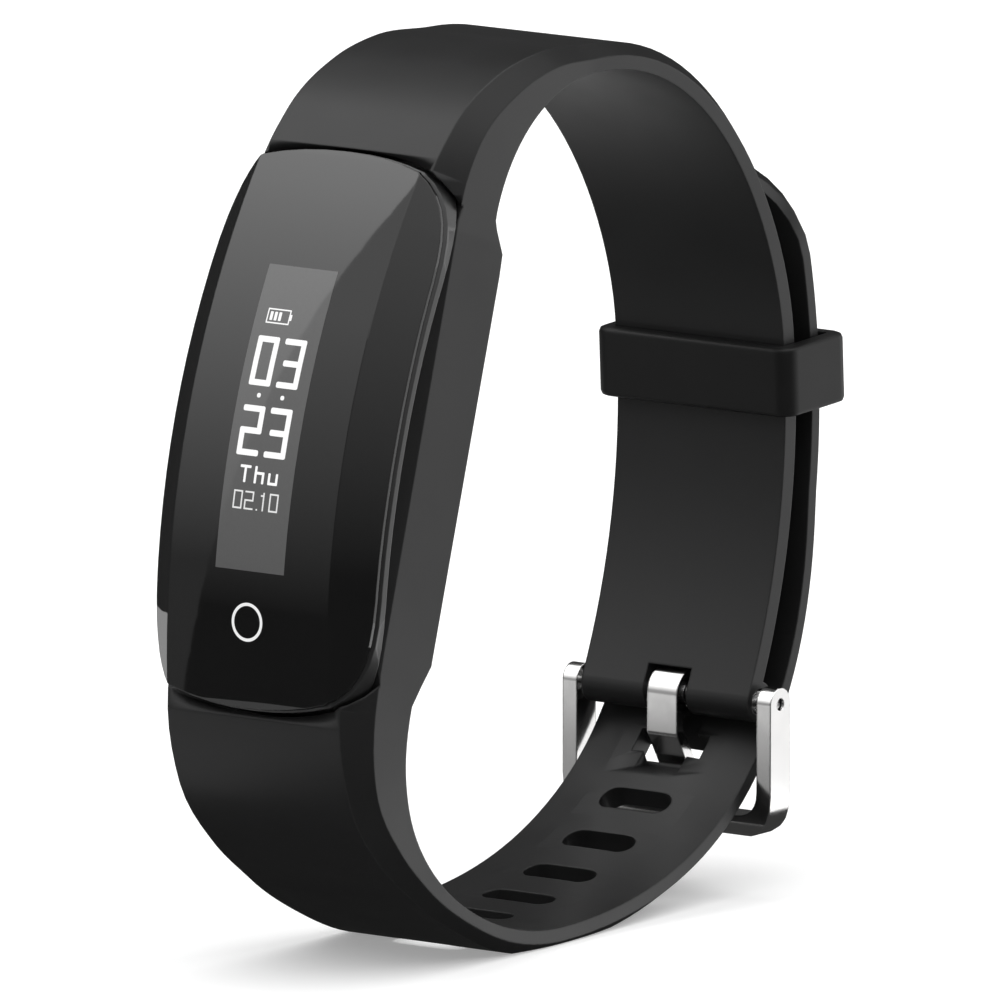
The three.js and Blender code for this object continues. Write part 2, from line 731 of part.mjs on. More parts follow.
function frameSolid() {
  const upwards = new THREE.Matrix4().makeBasis(
    new THREE.Vector3(0, 1, 0),
    new THREE.Vector3(0, 0, 1),
    new THREE.Vector3(1, 0, 0),
  );
  const bow = prism(frameOutline(), -frameDepth / 2, frameDepth / 2).transform(upwards.elements);
  const height = frameLength + crossbarHeight / 2 + frameDepth / 2;
  const profile = roundedRectangle(frameDepth, height, frameDepth / 2 - 0.02);
  const side = crossPrism(profile, 12).translate([0, 0, frameDepth / 2 - height / 2]);
  const holes = crossCylinder(0, 0, frameHole, -20, 20, 16);
  return bow.intersect(side).subtract(holes).translate([bar.x, 0, bar.y]);
}

function tongueSolid() {
  const half = tongueWidth / 2;
  const eye = crossCylinder(0, 0, tongueEye, -half, half, 28);
  const upper = crossPrism(stripOutline(stemStart, stemBend, tongueThickness / 2, tongueThickness / 2), half);
  const knee = crossCylinder(stemBend.x, stemBend.y, tongueThickness / 2, -half, half, 16);
  const lower = crossPrism(stripOutline(stemBend, stemEnd, tongueThickness / 2, tongueThickness / 2), half);
  const tip = crossCylinder(stemEnd.x, stemEnd.y, tongueThickness / 2, -half, half, 16);
  const hole = crossCylinder(0, 0, barBore, -10, 10);
  return cut(join(eye, upper, knee, lower, tip), hole).translate([bar.x, 0, bar.y]);
}

const tubeHalf = buckleHalfWidth - 0.1;

function barTubeSolid() {
  const outside = crossCylinder(bar.x, bar.y, barTubeRadius, -tubeHalf, tubeHalf);
  return outside.subtract(crossCylinder(bar.x, bar.y, barTubeBore, -20, 20, 18));
}

// sprung pin: a body in the tube and a thin tip through the buckle arm
function barPinSolid(side) {
  const shoulder = tubeHalf - 0.05;
  const tip = armOutside - 0.25;
  const body = [side * (shoulder - pinLength), side * shoulder].sort((a, b) => a - b);
  const nose = [side * (shoulder - 0.2), side * tip].sort((a, b) => a - b);
  return join(
    crossCylinder(bar.x, bar.y, pinRadius, body[0], body[1], 16),
    crossCylinder(bar.x, bar.y, pinTipRadius, nose[0], nose[1], 14),
  );
}

// helix between the two pins, short enough for both to be pressed in
function barSpringSolid() {
  const length = 2 * (tubeHalf - 0.05 - pinLength - pinTravel - 0.1);
  const turns = 7;
  const wire = 0.09;
  const radius = barTubeBore - wire - 0.1;
  class Helix extends THREE.Curve {
    getPoint(t, target = new THREE.Vector3()) {
      const angle = 2 * Math.PI * turns * t;
      const y = (t - 0.5) * (length - 2 * wire);
      return target.set(radius * Math.cos(angle), y, radius * Math.sin(angle));
    }
  }
  const section = new THREE.Shape().absarc(0, 0, wire, 0, 2 * Math.PI);
  const options = { steps: turns * 9, curveSegments: 3, bevelEnabled: false, extrudePath: new Helix() };
  const coil = new THREE.ExtrudeGeometry(section, options);
  return solidOf(coil, place(bar.x, 0, bar.y));
}

// ---- keeper -------------------------------------------------------------------------------------

function keeperSolid() {
  const low = sideRadius - slide;
  const high = tailRadius + tailThickness + slide;
  const depth = high - low;
  const width = 2 * (buckleHalfWidth + slide);
  const ring = roundedRectangle(depth + 2 * keeperWall, width + 2 * keeperWall, keeperRound);
  const opening = roundedRectangle(depth, width, 0.35);
  const band = prism(ring, -keeperHeight / 2, keeperHeight / 2, keeperEdge);
  const ringSolid = band.subtract(prism(opening, -keeperHeight, keeperHeight));
  const middle = onSide(keeperAngle * degree, (low + high) / 2);
  return ringSolid.rotate([0, -keeperAngle, 0]).translate([middle.x, 0, middle.y]);
}

// ---- finishes -----------------------------------------------------------------------------------

const finish = (color, roughness, metalness = 0) => ({ color, roughness, metalness });
const finishes = {
  rubber: finish(0x17171a, 0.55),
  glass: finish(0x0b0b0e, 0.06),
  shell: finish(0x131316, 0.3),
  steel: finish(0xc9c9cb, 0.18, 1),
  clear: finish(0x2b3330, 0.05),
  green: finish(0x1d5c3a, 0.4),
  chip: finish(0x1a1a1c, 0.45),
  foil: finish(0xb9bcc2, 0.3, 1),
  gold: finish(0xc79f4a, 0.25, 1),
  amber: finish(0xa8752c, 0.5),
  foam: finish(0x2a2a2c, 0.95),
  panel: finish(0x202226, 0.12),
  diode: finish(0xd9d8c8, 0.35),
};

const band = new THREE.Group();

function add(parent, name, solid, finishName) {
  const mesh = new THREE.Mesh(geometryOf(solid), new THREE.MeshStandardMaterial(finishes[finishName]));
  mesh.name = name;
  parent.add(mesh);
}

// ---- assembly -----------------------------------------------------------------------------------

add(band, "strap", strapSolid(), "rubber");
add(band, "keeper", keeperSolid(), "rubber");
add(band, "buckle_frame", frameSolid(), "steel");
add(band, "buckle_tongue", tongueSolid(), "steel");
add(band, "spring_bar_tube", barTubeSolid(), "steel");
add(band, "spring_bar_pin_near", barPinSolid(-1), "steel");
add(band, "spring_bar_pin_far", barPinSolid(1), "steel");
add(band, "spring_bar_spring", barSpringSolid(), "steel");

const pod = new THREE.Group();
pod.applyMatrix4(podMatrix);
band.add(pod);
add(pod, "cover_glass", coverSolid(), "glass");
add(pod, "cover_adhesive", adhesiveSolid(), "foam");
add(pod, "pod_case", caseSolid(), "shell");
add(pod, "case_gasket", gasketSolid(), "rubber");
add(pod, "back_cover", backCoverSolid(), "shell");
add(pod, "sensor_lens", lensSolid(), "clear");
add(pod, "charging_contact_upper", contactSolid(1), "gold");
add(pod, "charging_contact_lower", contactSolid(-1), "gold");
add(pod, "sensor_board", sensorBoardSolid(), "green");
add(pod, "green_led_upper", sensorChip(1.2, 1.2, 2), "diode");
add(pod, "green_led_lower", sensorChip(1.2, 1.2, -2), "diode");
add(pod, "photodiode", sensorChip(1.6, 1.8, 0), "panel");
add(pod, "battery_cell", batterySolid(), "foil");
add(pod, "battery_pad", batteryPadSolid(), "foam");
add(pod, "vibration_motor", motorSolid(), "steel");
add(pod, "main_board", boardSolid(), "green");
add(pod, "processor_chip", chip(5, 5, 0.65, 4, 0), "chip");
add(pod, "motion_sensor_chip", chip(2.2, 2.2, 0.6, -2.4, 1.6), "chip");
add(pod, "memory_chip", chip(3, 3.6, 0.6, -6.2, -0.8), "chip");
add(pod, "antenna_chip", chip(0.9, 5.2, 0.6, -boardLength / 2 + 0.9, 0), "diode");
add(pod, "display_panel", displaySolid(), "panel");
add(pod, "display_frame", displayFrameSolid(), "shell");
add(pod, "display_flex", flexSolid(), "amber");
add(pod, "touch_electrode", touchSolid(), "gold");

// the band stands on Z = 0 with the middle of its box over the origin
const box = new THREE.Box3().setFromObject(band, true);
band.position.set(-(box.min.x + box.max.x) / 2, 0, -box.min.z);

export default band;
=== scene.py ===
import math

import bpy
from mathutils import Matrix, Vector


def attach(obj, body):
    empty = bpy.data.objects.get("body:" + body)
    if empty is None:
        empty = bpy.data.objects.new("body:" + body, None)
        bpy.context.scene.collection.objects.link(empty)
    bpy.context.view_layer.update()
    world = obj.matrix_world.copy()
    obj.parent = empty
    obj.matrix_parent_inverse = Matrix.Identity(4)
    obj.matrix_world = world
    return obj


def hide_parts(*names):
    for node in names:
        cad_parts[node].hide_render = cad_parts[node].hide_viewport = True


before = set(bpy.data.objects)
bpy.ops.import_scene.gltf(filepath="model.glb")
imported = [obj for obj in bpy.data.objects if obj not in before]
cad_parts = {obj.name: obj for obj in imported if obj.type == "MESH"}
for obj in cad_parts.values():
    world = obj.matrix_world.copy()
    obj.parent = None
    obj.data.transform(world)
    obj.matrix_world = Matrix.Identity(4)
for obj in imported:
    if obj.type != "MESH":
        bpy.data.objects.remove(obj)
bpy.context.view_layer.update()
mm = 0.001


# everything in the pod is placed from its middle: up its length, across it, and out of the wrist
pod = {
    "origin": Vector((-15.2, 0, 33.866)) * mm,
    "up": Vector((0.29404, 0, 0.95579)),
    "across": Vector((0, 1, 0)),
    "out": Vector((-0.95579, 0, 0.29404)),
    "height": 11.1 * mm,
    "crownRadius": 54 * mm,
}


def crownPoint(up, across, lift=0.0):
    crown = pod["height"] - pod["crownRadius"] + math.sqrt(pod["crownRadius"] ** 2 - up ** 2)
    return pod["origin"] + pod["up"] * up + pod["across"] * across + pod["out"] * (crown + lift)


# a socket that can be used in sums
class Value:
    def __init__(self, finish, socket):
        self.finish = finish
        self.socket = socket

    def maths(self, operation, first, second):
        node = self.finish.node("ShaderNodeMath", {"operation": operation}, {0: first, 1: second})
        return Value(self.finish, node.outputs[0])

    def __add__(self, other):
        return self.maths("ADD", self, other)

    def __radd__(self, other):
        return self.maths("ADD", other, self)

    def __sub__(self, other):
        return self.maths("SUBTRACT", self, other)

    def __rsub__(self, other):
        return self.maths("SUBTRACT", other, self)

    def __mul__(self, other):
        return self.maths("MULTIPLY", self, other)

    def __rmul__(self, other):
        return self.maths("MULTIPLY", other, self)


# a material and the few ways that nodes are added to it
class Finish:
    def __init__(self, name):
        self.material = bpy.data.materials.new(name)
        self.material.use_nodes = True
        self.tree = self.material.node_tree
        self.tree.nodes.clear()
        self.output = self.tree.nodes.new("ShaderNodeOutputMaterial")

    def node(self, kind, settings=None, inputs=None):
        made = self.tree.nodes.new(kind)
        for key, setting in (settings or {}).items():
            setattr(made, key, setting)
        for key, value in (inputs or {}).items():
            if isinstance(value, Value):
                value = value.socket
            if isinstance(value, bpy.types.NodeSocket):
                self.tree.links.new(value, made.inputs[key])
            else:
                made.inputs[key].default_value = value
        return made

    def value(self, node):
        return Value(self, node.outputs[0])

    def place(self, stretch=(1, 1, 1)):
        where = self.node("ShaderNodeTexCoord")
        stretched = self.node("ShaderNodeMapping", None, {"Vector": where.outputs["Object"], "Scale": stretch})
        return stretched.outputs[0]

    def noise(self, size, detail, stretch=(1, 1, 1)):
        inputs = {"Vector": self.place(stretch), "Scale": 1 / size, "Detail": detail}
        return self.value(self.node("ShaderNodeTexNoise", None, inputs))

    def blend(self, factor, first, second):
        made = self.node("ShaderNodeMix", {"data_type": "RGBA"}, {0: factor, 6: first, 7: second})
        return made.outputs[2]

    def surface(self, **inputs):
        shader = self.node("ShaderNodeBsdfPrincipled", None, inputs)
        self.tree.links.new(shader.outputs[0], self.output.inputs[0])


def grey(level, tint=(1, 1, 1)):
    return (level * tint[0], level * tint[1], level * tint[2], 1)


# where the softened normal leans this far from the true one, the lightened edge starts and ends: partly rubbed
# wear, partly a painted edge highlight
finishTuning = {"start": 0.995, "end": 0.9, "reliefDepth": 0.02 * mm, "coatRough": 0.03}


# grain, cloudy roughness, softened edges, and edges painted lighter, partly rubbed wear and partly a painted
# highlight along the edges;
# grain, cloud and edge are sizes in mm
def makeFinish(name, look):
    finish = Finish(name)
    stretch = look.get("stretch", (1, 1, 1))
    grain = finish.noise(look["grain"] * mm, 3, stretch)
    cloud = finish.noise(look["cloud"] * mm, 2)
    soft = finish.node("ShaderNodeBevel", {"samples": 6}, {"Radius": look["edge"] * mm})
    shape = finish.node("ShaderNodeNewGeometry")
    turned = finish.node("ShaderNodeVectorMath", {"operation": "DOT_PRODUCT"},
                         {0: soft.outputs[0], 1: shape.outputs["Normal"]})
    # mask that lightens the colour along edges: rubbed wear together with a painted edge highlight
    edgeWornAndSheen = finish.value(finish.node("ShaderNodeMapRange", {"clamp": True}, {
        "Value": turned.outputs["Value"], 1: finishTuning["start"], 2: finishTuning["end"], 3: 0.0, 4: look["edgeWearAndSheen"]}))
    cloudy = finish.blend(cloud, look["colour"], look["second"])
    colour = finish.blend(edgeWornAndSheen, cloudy, look["edgeWornAndSheen"])
    rough = look["rough"] + (cloud - 0.5) * look["spread"] + (grain - 0.5) * (look["spread"] * 0.5)
    relief = finish.node("ShaderNodeBump", None, {
        "Strength": look["relief"], "Distance": finishTuning["reliefDepth"], "Height": grain, "Normal": soft.outputs[0]})
    finish.surface(**{
        "Base Color": colour, "Roughness": rough, "Normal": relief.outputs[0],
        "Metallic": look.get("metal", 0.0), "Specular IOR Level": look.get("gloss", 0.5),
        "Coat Weight": look.get("coat", 0.0), "Coat Roughness": finishTuning["coatRough"],
    })
    return finish.material


# each look's edge colour and edge amount give the lighter edges: partly rubbed wear, partly a painted edge
# highlight
looks = {
    "strapRubber": {"colour": grey(0.0085), "second": grey(0.0108, (1, 1, 1.03)), "edgeWornAndSheen": grey(0.03),
                    "rough": 0.42, "spread": 0.08, "grain": 0.09, "cloud": 4, "relief": 0.10, "edge": 0.16,
                    "edgeWearAndSheen": 0.5, "gloss": 0.3},
    "keeperRubber": {"colour": grey(0.0065), "second": grey(0.0085), "edgeWornAndSheen": grey(0.026), "rough": 0.44,
                     "spread": 0.08, "grain": 0.08, "cloud": 2.5, "relief": 0.12, "edge": 0.25,
                     "edgeWearAndSheen": 0.5, "gloss": 0.22},
    "coverGloss": {"colour": grey(0.0045), "second": grey(0.0055), "edgeWornAndSheen": grey(0.02), "rough": 0.016,
                   "spread": 0.008, "grain": 0.6, "cloud": 7, "relief": 0.004, "edge": 0.1, "edgeWearAndSheen": 0.3},
    "caseSatin": {"colour": grey(0.012), "second": grey(0.016), "edgeWornAndSheen": grey(0.04), "rough": 0.3,
                  "spread": 0.08, "grain": 0.07, "cloud": 3, "relief": 0.08, "edge": 0.12, "edgeWearAndSheen": 0.6},
    "polishedSteel": {"colour": grey(0.74, (1, 0.99, 0.98)), "second": grey(0.66, (1, 0.995, 0.99)),
                      "edgeWornAndSheen": grey(0.86), "rough": 0.17, "spread": 0.08, "grain": 0.12, "cloud": 1.6,
                      "relief": 0.03, "edge": 0.16, "edgeWearAndSheen": 0.7, "metal": 1.0, "stretch": (1, 1, 0.12)},
    "turnedSteel": {"colour": grey(0.55), "second": grey(0.48), "edgeWornAndSheen": grey(0.7), "rough": 0.28, "spread": 0.1,
                    "grain": 0.05, "cloud": 0.8, "relief": 0.05, "edge": 0.05, "edgeWearAndSheen": 0.6, "metal": 1.0,
                    "stretch": (0.3, 1, 0.3)},
    "foam": {"colour": grey(0.018), "second": grey(0.03), "edgeWornAndSheen": grey(0.04), "rough": 0.9, "spread": 0.1,
             "grain": 0.12, "cloud": 1, "relief": 0.6, "edge": 0.05, "edgeWearAndSheen": 0.3},
    "gasketRubber": {"colour": grey(0.03), "second": grey(0.022), "edgeWornAndSheen": grey(0.05), "rough": 0.6,
                     "spread": 0.1, "grain": 0.08, "cloud": 1.5, "relief": 0.15, "edge": 0.08, "edgeWearAndSheen": 0.4},
    "smokedLens": {"colour": grey(0.012, (1, 1.2, 1.1)), "second": grey(0.018, (1, 1.2, 1.1)),
                   "edgeWornAndSheen": grey(0.05), "rough": 0.06, "spread": 0.03, "grain": 0.3, "cloud": 2,
                   "relief": 0.01, "edge": 0.1, "edgeWearAndSheen": 0.3, "coat": 0.6},
    "goldPlate": {"colour": (0.78, 0.55, 0.2, 1), "second": (0.7, 0.47, 0.16, 1), "edgeWornAndSheen": (0.85, 0.68, 0.36, 1),
                  "rough": 0.24, "spread": 0.12, "grain": 0.06, "cloud": 0.5, "relief": 0.05, "edge": 0.08,
                  "edgeWearAndSheen": 0.6, "metal": 1.0},
    "boardGreen": {"colour": (0.012, 0.09, 0.04, 1), "second": (0.02, 0.13, 0.06, 1),
                   "edgeWornAndSheen": (0.3, 0.2, 0.07, 1), "rough": 0.35, "spread": 0.15, "grain": 0.15, "cloud": 1.2,
                   "relief": 0.1, "edge": 0.04, "edgeWearAndSheen": 0.5},
    "ceramicWhite": {"colour": grey(0.7), "second": grey(0.6, (1, 0.98, 0.93)), "edgeWornAndSheen": grey(0.5), "rough": 0.4,
                     "spread": 0.1, "grain": 0.05, "cloud": 0.4, "relief": 0.08, "edge": 0.04, "edgeWearAndSheen": 0.4},
    "diodeResin": {"colour": grey(0.015, (1, 1, 1.3)), "second": grey(0.022, (1, 1, 1.3)),
                   "edgeWornAndSheen": grey(0.06), "rough": 0.12, "spread": 0.06, "grain": 0.1, "cloud": 0.6,
                   "relief": 0.02, "edge": 0.04, "edgeWearAndSheen": 0.3},
    "batteryFoil": {"colour": grey(0.55, (1, 1, 1.02)), "second": grey(0.42), "edgeWornAndSheen": grey(0.7), "rough": 0.35,
                    "spread": 0.2, "grain": 0.5, "cloud": 2, "relief": 0.35, "edge": 0.15,
                    "edgeWearAndSheen": 0.6, "metal": 0.9},
    "chipEpoxy": {"colour": grey(0.016), "second": grey(0.024), "edgeWornAndSheen": grey(0.05), "rough": 0.55,
                  "spread": 0.1, "grain": 0.05, "cloud": 0.8, "relief": 0.2, "edge": 0.04, "edgeWearAndSheen": 0.4},
    "panelGlass": {"colour": grey(0.02, (1, 1.05, 1.15)), "second": grey(0.026, (1, 1.05, 1.15)),
                   "edgeWornAndSheen": grey(0.08), "rough": 0.08, "spread": 0.04, "grain": 0.2, "cloud": 2,
                   "relief": 0.01, "edge": 0.05, "edgeWearAndSheen": 0.4},
    "amberFilm": {"colour": (0.42, 0.18, 0.04, 1), "second": (0.34, 0.13, 0.03, 1), "edgeWornAndSheen": (0.55, 0.3, 0.1, 1),
                  "rough": 0.3, "spread": 0.12, "grain": 0.1, "cloud": 1, "relief": 0.05, "edge": 0.04,
                  "edgeWearAndSheen": 0.4},
}
finishes = {name: makeFinish(name, look) for name, look in looks.items()}
print("finishes made")


def pick(piece):
    bpy.ops.object.select_all(action="DESELECT")
    piece.select_set(True)
    bpy.context.view_layer.objects.active = piece


def paint(piece, finish):
    piece.data.materials.clear()
    piece.data.materials.append(finish)


def settle(piece, body):
    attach(piece, body)


# how far apart vertices are welded, how flat an edge is to go, and up to what angle shading runs on
skinning = {"weld": 0.001 * mm, "flat": math.radians(0.4), "smooth": math.radians(28)}


# a piece that starts as a copy of a CAD node: its faces joined up and its curves shaded smooth
def skinOf(nodeName, pieceName, body, finish):
    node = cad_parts[nodeName]
    piece = bpy.data.objects.new(pieceName, node.data.copy())
    bpy.context.scene.collection.objects.link(piece)
    piece.matrix_world = node.matrix_world.copy()
    pick(piece)
    bpy.ops.object.mode_set(mode="EDIT")
    bpy.ops.mesh.select_all(action="SELECT")
    bpy.ops.mesh.remove_doubles(threshold=skinning["weld"])
    bpy.ops.mesh.dissolve_limited(angle_limit=skinning["flat"])
    bpy.ops.mesh.select_all(action="DESELECT")
    bpy.ops.object.mode_set(mode="OBJECT")
    bpy.ops.object.shade_smooth_by_angle(angle=skinning["smooth"])
    bpy.ops.object.modifier_add(type="WEIGHTED_NORMAL")
    piece.modifiers[-1].keep_sharp = True
    bpy.ops.object.modifier_apply(modifier=piece.modifiers[-1].name)
    paint(piece, finish)
    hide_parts(nodeName)
    settle(piece, body)


skins = [
    ("strap", "strap_moulding", "strap", "strap_rubber", "strapRubber"),
    ("keeper", "keeper_loop", "keeper", "keeper_rubber", "keeperRubber"),
    ("cover_glass", "cover_window", "pod", "cover_glass", "coverGloss"),
    ("pod_case", "case_shell", "pod", "case_plastic", "caseSatin"),
    ("back_cover", "back_shell", "pod", "case_plastic", "caseSatin"),
    ("sensor_lens", "sensor_dome", "pod", "sensor_lens", "smokedLens"),
    ("charging_contact_upper", "contact_upper", "pod", "gold_plate", "goldPlate"),
    ("charging_contact_lower", "contact_lower", "pod", "gold_plate", "goldPlate"),
    ("buckle_frame", "buckle_loop", "buckle_frame", "polished_steel", "polishedSteel"),
    ("buckle_tongue", "buckle_prong", "buckle_tongue", "polished_steel", "polishedSteel"),
    ("spring_bar_tube", "bar_tube", "strap", "bar_steel", "turnedSteel"),
    ("spring_bar_pin_near", "bar_pin_near", "spring_bar_pin_near", "bar_steel", "turnedSteel"),
    ("spring_bar_pin_far", "bar_pin_far", "spring_bar_pin_far", "bar_steel", "turnedSteel"),
]
for nodeName, pieceName, body, slot, finish in skins:
    skinOf(nodeName, pieceName, body, finishes[finish])
print("outer pieces made")

# the parts inside keep their CAD shape and take a finish
inside = {
    "spring_bar_spring": "turnedSteel", "vibration_motor": "turnedSteel", "cover_adhesive": "foam",
    "battery_pad": "foam", "case_gasket": "gasketRubber", "touch_electrode": "goldPlate",
    "main_board": "boardGreen", "sensor_board": "boardGreen", "green_led_upper": "ceramicWhite",
    "green_led_lower": "ceramicWhite", "antenna_chip": "ceramicWhite", "photodiode": "diodeResin",
    "battery_cell": "batteryFoil", "processor_chip": "chipEpoxy", "motion_sensor_chip": "chipEpoxy",
    "memory_chip": "chipEpoxy", "display_panel": "panelGlass", "display_frame": "caseSatin",
    "display_flex": "amberFilm",
}
for nodeName, finish in inside.items():
    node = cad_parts[nodeName]
    for materialSlot in node.material_slots:
        materialSlot.material = finishes[finish]
print("inner parts finished")


def glowFinish(name, level, rough):
    finish = Finish(name)
    uneven = finish.noise(0.35 * mm, 2)
    tone = finish.blend(uneven, grey(level * 0.96), grey(level))
    dark = finish.blend(uneven, grey(0.05), grey(0.06))
    finish.surface(**{"Base Color": dark, "Roughness": rough + uneven * 0.05, "Emission Color": tone,
                      "Emission Strength": 1.0})
    return finish.material


def layOnCrown(piece, up, across, lift):
    for vertex in piece.data.vertices:
        x, y, z = vertex.co
        vertex.co = crownPoint(up + y, across - x, lift + z)
    pick(piece)
    bpy.ops.object.mode_set(mode="EDIT")
    bpy.ops.mesh.select_all(action="SELECT")
    bpy.ops.mesh.normals_make_consistent(inside=False)
    bpy.ops.object.mode_set(mode="OBJECT")


# sizes and places on the cover in mm: up the pod from its middle, and to the right of it
display = {
    "windowLength": 20.0, "windowWidth": 5.5, "windowUp": 0.3, "windowLift": 0.006,
    "digitHeight": 3.28, "digitWidth": 1.72, "digitStroke": 0.4, "digitCorner": 0.11,
    "hourUp": 3.9, "minuteUp": -0.69,
    "digitLeft": -1.22, "digitRight": 0.96, "dotUp": 1.63, "dotSize": 0.3, "dotLeft": -1.08, "dotRight": 0.8,
    "dayUp": -3.51, "dayHeight": 1.13, "dayStroke": 0.18, "dayCorner": 0.05,
    "dayLetters": (("T", -1.14, 0.86), ("h", 0.0, 0.78), ("u", 1.1, 0.78)),
    "dateUp": -5.2, "dateHeight": 1.2, "dateWidth": 0.72, "dateStroke": 0.11, "dateCorner": 0.02,
    "dateSigns": (("0", -1.47), ("2", -0.57), (".", 0.1), ("1", 0.42), ("0", 1.4)),
    "batteryUp": 6.9, "batteryMiddle": -0.84, "batteryLength": 2.0, "batteryHeight": 1.0,
    "batteryLine": 0.09, "batteryCorner": 0.03, "nubRoom": 0.16, "nubLength": 0.14, "nubHeight": 0.4,
    "barWidth": 0.22, "barPitch": 0.34, "barHeight": 0.58, "barStart": 0.24,
    "lift": 0.016, "ringUp": -12.95, "ringRadius": 1.13, "ringLine": 0.1, "ringLift": 0.004, "ringFlat": 0.15,
}

# strokes of each digit as lines on a grid two high and one wide: left, low, right, top
strokes = {
    "0": [(0, 0, 0, 2), (1, 0, 1, 2), (0, 0, 1, 0), (0, 2, 1, 2)],
    "1": [(0.75, 0, 0.75, 2), (0.45, 1.7, 0.75, 1.7)],
    "2": [(0, 2, 1, 2), (1, 1, 1, 2), (0, 1, 1, 1), (0, 0, 0, 1), (0, 0, 1, 0)],
    "3": [(0, 2, 1, 2), (1, 0, 1, 2), (0.15, 1, 1, 1), (0, 0, 1, 0)],
    "T": [(0, 2, 1, 2), (0.5, 0, 0.5, 2)],
    "h": [(0, 0, 0, 2), (0, 1.25, 1, 1.25), (1, 0, 1, 1.25)],
    "u": [(0, 0, 0, 1.25), (0, 0, 1, 0), (1, 0, 1, 1.25)],
    ".": [(0.5, 0, 0.5, 0)],
}


def startStrokes(name):
    bpy.ops.object.select_all(action="DESELECT")
    bpy.ops.mesh.primitive_plane_add(size=0.00001)
    piece = bpy.context.object
    piece.name = name
    bpy.ops.object.mode_set(mode="EDIT")
    bpy.ops.mesh.select_all(action="SELECT")
    bpy.ops.mesh.delete(type="VERT")
    return piece


def addBar(left, low, right, high):
    middle = ((left + right) / 2 * mm, (low + high) / 2 * mm, 0)
    bpy.ops.mesh.primitive_plane_add(size=mm, location=middle)
    bpy.ops.transform.resize(value=(right - left, high - low, 1), center_override=middle)


def addSign(sign, middle, up, width, height, line):
    for x1, y1, x2, y2 in strokes[sign]:
        left = middle + (min(x1, x2) - 0.5) * (width - line) - line / 2
        right = middle + (max(x1, x2) - 0.5) * (width - line) + line / 2
        low = up + (min(y1, y2) / 2 - 0.5) * (height - line) - line / 2
        high = up + (max(y1, y2) / 2 - 0.5) * (height - line) + line / 2
        addBar(left, low, right, high)


def endStrokes(piece, chamfer, finish):
    bpy.ops.mesh.select_all(action="SELECT")
    bpy.ops.mesh.bevel(offset=chamfer * mm, segments=2, affect="VERTICES")
    bpy.ops.mesh.select_all(action="SELECT")
    bpy.ops.mesh.quads_convert_to_tris()
    bpy.ops.mesh.subdivide(number_cuts=1)
    bpy.ops.object.mode_set(mode="OBJECT")
    layOnCrown(piece, 0, 0, display["lift"] * mm)
    paint(piece, finish)
    settle(piece, "pod")


litPixels = glowFinish("litPixels", 0.93, 0.25)
thinPixels = glowFinish("thinPixels", 0.72, 0.25)

bigDigits = startStrokes("time_digits")
for sign, middle, up in (
    ("0", display["digitLeft"], display["hourUp"]), ("3", display["digitRight"], display["hourUp"]),
    ("2", display["digitLeft"], display["minuteUp"]), ("3", display["digitRight"], display["minuteUp"]),
):
    addSign(sign, middle, up, display["digitWidth"], display["digitHeight"], display["digitStroke"])
for middle in (display["dotLeft"], display["dotRight"]):
    half = display["dotSize"] / 2
    addBar(middle - half, display["dotUp"] - half, middle + half, display["dotUp"] + half)
endStrokes(bigDigits, display["digitCorner"], litPixels)

dayName = startStrokes("weekday_letters")
for sign, middle, width in display["dayLetters"]:
    addSign(sign, middle, display["dayUp"], width, display["dayHeight"], display["dayStroke"])
endStrokes(dayName, display["dayCorner"], litPixels)

dateDigits = startStrokes("date_digits")
for sign, middle in display["dateSigns"]:
    addSign(sign, middle, display["dateUp"], display["dateWidth"], display["dateHeight"], display["dateStroke"])
endStrokes(dateDigits, display["dateCorner"], thinPixels)

batteryMark = startStrokes("battery_mark")
line = display["batteryLine"]
left = display["batteryMiddle"] - display["batteryLength"] / 2
right = left + display["batteryLength"] - display["nubRoom"]
low = display["batteryUp"] - display["batteryHeight"] / 2
high = low + display["batteryHeight"]
addBar(left, low, right, low + line)
addBar(left, high - line, right, high)
addBar(left, low, left + line, high)
addBar(right - line, low, right, high)
halfNub = display["nubHeight"] / 2
addBar(right, display["batteryUp"] - halfNub, right + display["nubLength"], display["batteryUp"] + halfNub)
halfBar = display["barHeight"] / 2
for count in range(3):
    start = left + display["barStart"] + display["barPitch"] * count
    addBar(start, display["batteryUp"] - halfBar, start + display["barWidth"], display["batteryUp"] + halfBar)
endStrokes(batteryMark, display["batteryCorner"], litPixels)

# the lit window: a thin sheet that follows the crown
windowFinish = Finish("windowPanel")
panelGrain = windowFinish.noise(0.2 * mm, 2)
windowFinish.surface(**{
    "Base Color": windowFinish.blend(panelGrain, grey(0.052), grey(0.058)),
    "Roughness": 0.016 + panelGrain * 0.01,
    "Emission Color": windowFinish.blend(panelGrain, grey(0.024), grey(0.027)), "Emission Strength": 1.0,
})
bpy.ops.object.select_all(action="DESELECT")
bpy.ops.mesh.primitive_grid_add(x_subdivisions=6, y_subdivisions=60, size=mm)
window = bpy.context.object
window.name = "display_window"
window.scale = (display["windowWidth"], display["windowLength"], 1)
bpy.ops.object.transform_apply(location=False, rotation=False, scale=True)
layOnCrown(window, display["windowUp"] * mm, 0, display["windowLift"] * mm)
bpy.ops.object.shade_smooth()
paint(window, windowFinish.material)
settle(window, "pod")

# the printed touch ring is drawn as a glowing mark: its brightness is painted glow, not white print lit by the
# lamps
bpy.ops.object.select_all(action="DESELECT")
bpy.ops.mesh.primitive_torus_add(major_segments=72, minor_segments=10,
                                 major_radius=display["ringRadius"] * mm, minor_radius=display["ringLine"] * mm)
ring = bpy.context.object
ring.name = "touch_ring"
bpy.ops.object.mode_set(mode="EDIT")
bpy.ops.mesh.select_all(action="SELECT")
bpy.ops.transform.resize(value=(1, 1, display["ringFlat"]))
bpy.ops.object.mode_set(mode="OBJECT")
layOnCrown(ring, display["ringUp"] * mm, 0, display["ringLift"] * mm)
bpy.ops.object.shade_smooth()
paint(ring, glowFinish("ringPrintGlow", 0.8, 0.3))
settle(ring, "pod")
print("display made")


